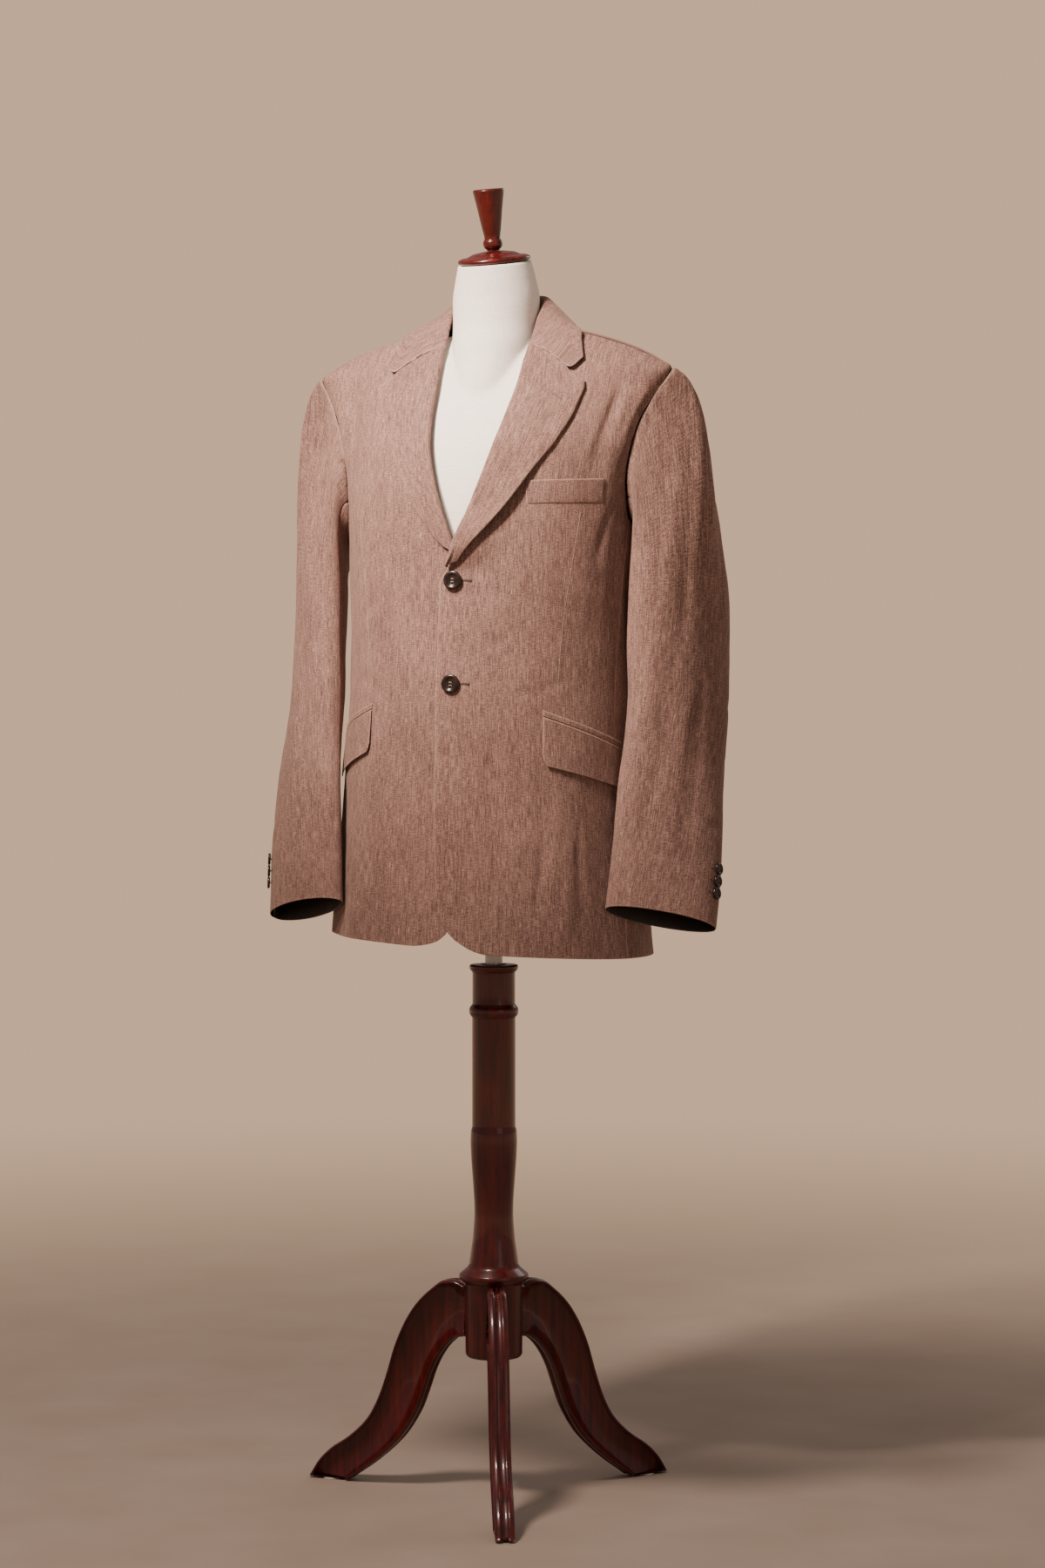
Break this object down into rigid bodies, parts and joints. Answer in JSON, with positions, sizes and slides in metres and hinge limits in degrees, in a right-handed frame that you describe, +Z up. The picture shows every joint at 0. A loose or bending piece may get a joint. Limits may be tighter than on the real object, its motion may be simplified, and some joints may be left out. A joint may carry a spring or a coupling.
{
  "type": "linen blazer on a dress form stand",
  "caption": "Notch-lapel button-front linen blazer with flap pockets, worn on a limbless canvas dress form with a sliding pole and a turned wooden tripod stand.",
  "frame": {"origin": "centre of the object's box on the floor under the stand", "axes": "+Z up, -Y the way the blazer's front faces, +X the wearer's left"},
  "size_m": [0.5896, 0.4558, 1.6347],
  "materials": {
    "linen": "matt slubbed plain weave",
    "canvas": "matt fine canvas",
    "mahogany": "gloss varnish",
    "pole": "brushed",
    "button": "polished",
    "glide": "matt"
  },
  "bodies": {
    "stand": {"column": "mahogany", "leg_1": "mahogany", "leg_2": "mahogany", "leg_3": "mahogany", "foot_glide_1": "glide", "foot_glide_2": "glide", "foot_glide_3": "glide"},
    "pole": {"pole": "pole"},
    "form": {"front_left": "linen", "front_right": "linen", "side_left": "linen", "side_right": "linen", "back_left": "linen", "back_right": "linen", "lapel_left": "linen", "lapel_right": "linen", "collar": "linen", "top_sleeve_left": "linen", "top_sleeve_right": "linen", "under_sleeve_left": "linen", "under_sleeve_right": "linen", "breast_welt": "linen", "pocket_jet_left": "linen", "pocket_jet_right": "linen", "pocket_flap_left": "linen", "pocket_flap_right": "linen", "form_torso": "canvas", "neck_cap": "mahogany", "finial": "mahogany", "front_button_upper": "button", "front_button_lower": "button", "cuff_button_left_1": "button", "cuff_button_left_2": "button", "cuff_button_left_3": "button", "cuff_button_right_1": "button", "cuff_button_right_2": "button", "cuff_button_right_3": "button"}
  },
  "joints": [
    {"name": "pole_slide", "type": "slide", "parent": "stand", "child": "pole", "axis": [0, 0, 1], "range_m": [-0.1, 0.2]},
    {"name": "form_swivel", "type": "hinge", "parent": "pole", "child": "form", "pos_m": [-0.0042, 0.0171, 0.96], "axis": [0, 0, 1], "continuous": true}
  ]
}
